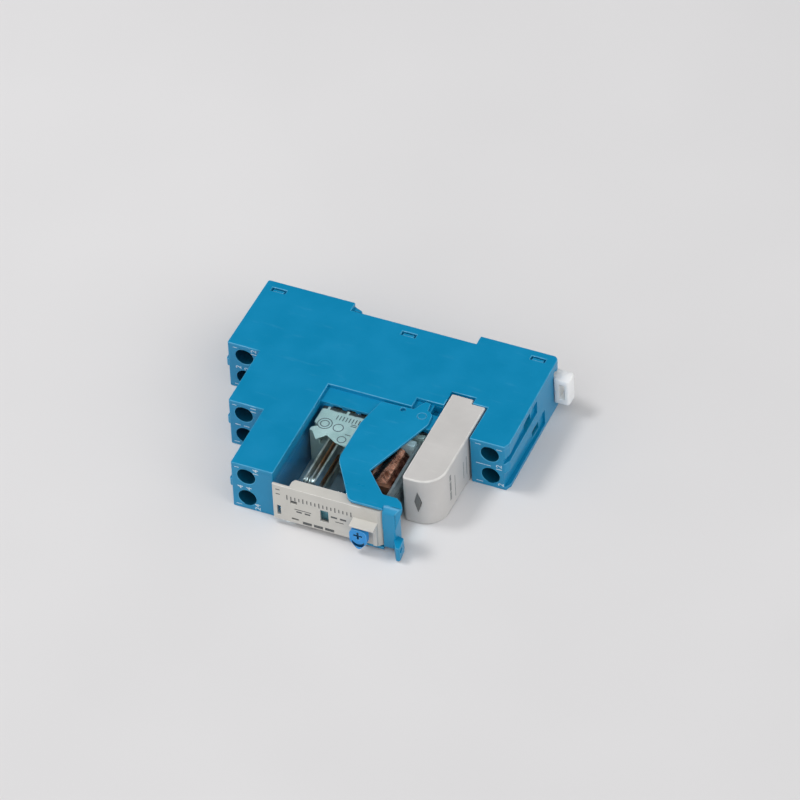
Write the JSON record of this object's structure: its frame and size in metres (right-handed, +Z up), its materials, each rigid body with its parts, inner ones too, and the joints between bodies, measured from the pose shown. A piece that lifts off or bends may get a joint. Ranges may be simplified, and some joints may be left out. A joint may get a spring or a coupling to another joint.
{
  "type": "interface relay",
  "caption": "Rail-mounted interface relay: slim blue screw-terminal socket with a plug-in clear relay, a swinging retaining clip and an indicator module.",
  "frame": {"origin": "on the rail's centre line at the rail's seat, on the lower side face", "axes": "+X across the rail towards the coil terminals, +Y into the rail, +Z up through the thickness"},
  "size_m": [0.0907, 0.0732, 0.0158],
  "materials": {
    "socket_blue": "fine moulded texture",
    "clip_blue": "satin",
    "latch_white": "milky, slightly see-through",
    "cap_white": "satin",
    "pale_moulding": "satin",
    "clear_case": "clear, polished",
    "copper": "enamelled wire and bare copper alloy",
    "iron": "nickel plated",
    "zinc_steel": "zinc plated",
    "brass": "tinned brass",
    "grey_plastic": "smooth",
    "flag_teal": "satin",
    "board_green": "lacquered board",
    "resistor_tan": "lacquered"
  },
  "bodies": {
    "socket": {"socket_body": "socket_blue", "upper_cover": "socket_blue", "lower_cover": "socket_blue", "relay_cap": "cap_white", "module_case": "cap_white", "module_base": "cap_white", "relay_base": "pale_moulding", "coil_bobbin": "pale_moulding", "relay_case": "clear_case", "coil_winding": "copper", "coil_core": "iron", "yoke": "iron", "module_lens": "grey_plastic", "module_led": "grey_plastic", "module_board": "board_green", "module_resistor": "resistor_tan", "armature_spring": "brass", "module_pins": "brass", "com_pin_upper": "brass", "no_contact_upper": "brass", "nc_contact_upper": "brass", "coil_pin_upper": "brass", "nc_strip_upper": "brass", "com_strip_upper": "brass", "no_strip_upper": "brass", "coil_strip_upper": "brass", "com_pin_lower": "brass", "no_contact_lower": "brass", "nc_contact_lower": "brass", "coil_pin_lower": "brass", "nc_strip_lower": "brass", "com_strip_lower": "brass", "no_strip_lower": "brass", "coil_strip_lower": "brass"},
    "clip": {"retaining_clip": "clip_blue"},
    "latch": {"rail_latch": "latch_white"},
    "armature": {"armature": "iron"},
    "card": {"contact_card": "pale_moulding", "flag_indicator": "flag_teal"},
    "moving_contact_upper": {"moving_contact_upper": "copper"},
    "moving_contact_lower": {"moving_contact_lower": "copper"},
    "test_plunger": {"test_plunger": "grey_plastic"},
    "test_button": {"test_button": "clip_blue"},
    "nc_screw_upper": {"nc_screw_upper": "zinc_steel"},
    "nc_clamp_upper": {"nc_clamp_upper": "zinc_steel"},
    "nc_screw_lower": {"nc_screw_lower": "zinc_steel"},
    "nc_clamp_lower": {"nc_clamp_lower": "zinc_steel"},
    "com_screw_upper": {"com_screw_upper": "zinc_steel"},
    "com_clamp_upper": {"com_clamp_upper": "zinc_steel"},
    "com_screw_lower": {"com_screw_lower": "zinc_steel"},
    "com_clamp_lower": {"com_clamp_lower": "zinc_steel"},
    "no_screw_upper": {"no_screw_upper": "zinc_steel"},
    "no_clamp_upper": {"no_clamp_upper": "zinc_steel"},
    "no_screw_lower": {"no_screw_lower": "zinc_steel"},
    "no_clamp_lower": {"no_clamp_lower": "zinc_steel"},
    "coil_screw_upper": {"coil_screw_upper": "zinc_steel"},
    "coil_clamp_upper": {"coil_clamp_upper": "zinc_steel"},
    "coil_screw_lower": {"coil_screw_lower": "zinc_steel"},
    "coil_clamp_lower": {"coil_clamp_lower": "zinc_steel"}
  },
  "joints": [
    {"name": "clip_swing", "type": "hinge", "parent": "socket", "child": "clip", "pos_m": [0.01555, -0.03045, 0.0079], "axis": [0, 0, 1], "range_deg": [0, 18]},
    {"name": "latch_pull", "type": "slide", "parent": "socket", "child": "latch", "axis": [1, 0, 0], "range_m": [0, 0.003], "stiffness_N_per_m": 1500},
    {"name": "armature_pull", "type": "hinge", "parent": "socket", "child": "armature", "pos_m": [0.0172, -0.05815, 0.0079], "axis": [0, 0, -1], "range_deg": [0, 6.1]},
    {"name": "card_slide", "type": "slide", "parent": "socket", "child": "card", "axis": [-1, 0, 0], "range_m": [0, 0.000473], "stiffness_N_per_m": 400},
    {"name": "test_push", "type": "slide", "parent": "socket", "child": "test_plunger", "axis": [0, 1, 0], "range_m": [0, 0.001], "stiffness_N_per_m": 500},
    {"name": "test_turn", "type": "hinge", "parent": "test_plunger", "child": "test_button", "pos_m": [0.01375, -0.068, 0.0065], "axis": [0, 1, 0], "range_deg": [0, 90]},
    {"name": "contact_bend_upper", "type": "hinge", "parent": "socket", "child": "moving_contact_upper", "pos_m": [-0.0035, -0.0414, 0.0079], "axis": [0, 0, -1], "range_deg": [0, 2]},
    {"name": "contact_bend_lower", "type": "hinge", "parent": "socket", "child": "moving_contact_lower", "pos_m": [-0.0035, -0.0414, 0.0079], "axis": [0, 0, -1], "range_deg": [0, 2]},
    {"name": "nc_screw_turn_upper", "type": "hinge", "parent": "socket", "child": "nc_screw_upper", "pos_m": [-0.03945, -0.01715, 0.01175], "axis": [0, 1, 0], "range_deg": [0, 1445]},
    {"name": "nc_clamp_rise_upper", "type": "slide", "parent": "socket", "child": "nc_clamp_upper", "axis": [0, -1, 0], "range_m": [0, 0.002]},
    {"name": "nc_screw_turn_lower", "type": "hinge", "parent": "socket", "child": "nc_screw_lower", "pos_m": [-0.03945, -0.01715, 0.00405], "axis": [0, 1, 0], "range_deg": [0, 1445]},
    {"name": "nc_clamp_rise_lower", "type": "slide", "parent": "socket", "child": "nc_clamp_lower", "axis": [0, -1, 0], "range_m": [0, 0.002]},
    {"name": "com_screw_turn_upper", "type": "hinge", "parent": "socket", "child": "com_screw_upper", "pos_m": [-0.03055, -0.03745, 0.01175], "axis": [0, 1, 0], "range_deg": [0, 1445]},
    {"name": "com_clamp_rise_upper", "type": "slide", "parent": "socket", "child": "com_clamp_upper", "axis": [0, -1, 0], "range_m": [0, 0.002]},
    {"name": "com_screw_turn_lower", "type": "hinge", "parent": "socket", "child": "com_screw_lower", "pos_m": [-0.03055, -0.03745, 0.00405], "axis": [0, 1, 0], "range_deg": [0, 1445]},
    {"name": "com_clamp_rise_lower", "type": "slide", "parent": "socket", "child": "com_clamp_lower", "axis": [0, -1, 0], "range_m": [0, 0.002]},
    {"name": "no_screw_turn_upper", "type": "hinge", "parent": "socket", "child": "no_screw_upper", "pos_m": [-0.02035, -0.05885, 0.01175], "axis": [0, 1, 0], "range_deg": [0, 1445]},
    {"name": "no_clamp_rise_upper", "type": "slide", "parent": "socket", "child": "no_clamp_upper", "axis": [0, -1, 0], "range_m": [0, 0.002]},
    {"name": "no_screw_turn_lower", "type": "hinge", "parent": "socket", "child": "no_screw_lower", "pos_m": [-0.02035, -0.05885, 0.00405], "axis": [0, 1, 0], "range_deg": [0, 1445]},
    {"name": "no_clamp_rise_lower", "type": "slide", "parent": "socket", "child": "no_clamp_lower", "axis": [0, -1, 0], "range_m": [0, 0.002]},
    {"name": "coil_screw_turn_upper", "type": "hinge", "parent": "socket", "child": "coil_screw_upper", "pos_m": [0.0364, -0.02805, 0.01175], "axis": [0, 1, 0], "range_deg": [0, 1445]},
    {"name": "coil_clamp_rise_upper", "type": "slide", "parent": "socket", "child": "coil_clamp_upper", "axis": [0, -1, 0], "range_m": [0, 0.002]},
    {"name": "coil_screw_turn_lower", "type": "hinge", "parent": "socket", "child": "coil_screw_lower", "pos_m": [0.0364, -0.02305, 0.00405], "axis": [0, 1, 0], "range_deg": [0, 1445]},
    {"name": "coil_clamp_rise_lower", "type": "slide", "parent": "socket", "child": "coil_clamp_lower", "axis": [0, -1, 0], "range_m": [0, 0.002]}
  ],
  "couplings": [
    {"joint": "armature_pull", "follows": "card_slide", "rad_per_m": 221.41},
    {"joint": "contact_bend_upper", "follows": "card_slide", "rad_per_m": 47.059},
    {"joint": "contact_bend_lower", "follows": "card_slide", "rad_per_m": 47.059},
    {"joint": "nc_screw_turn_upper", "follows": "nc_clamp_rise_upper", "rad_per_m": 12566},
    {"joint": "nc_screw_turn_lower", "follows": "nc_clamp_rise_lower", "rad_per_m": 12566},
    {"joint": "com_screw_turn_upper", "follows": "com_clamp_rise_upper", "rad_per_m": 12566},
    {"joint": "com_screw_turn_lower", "follows": "com_clamp_rise_lower", "rad_per_m": 12566},
    {"joint": "no_screw_turn_upper", "follows": "no_clamp_rise_upper", "rad_per_m": 12566},
    {"joint": "no_screw_turn_lower", "follows": "no_clamp_rise_lower", "rad_per_m": 12566},
    {"joint": "coil_screw_turn_upper", "follows": "coil_clamp_rise_upper", "rad_per_m": 12566},
    {"joint": "coil_screw_turn_lower", "follows": "coil_clamp_rise_lower", "rad_per_m": 12566}
  ]
}
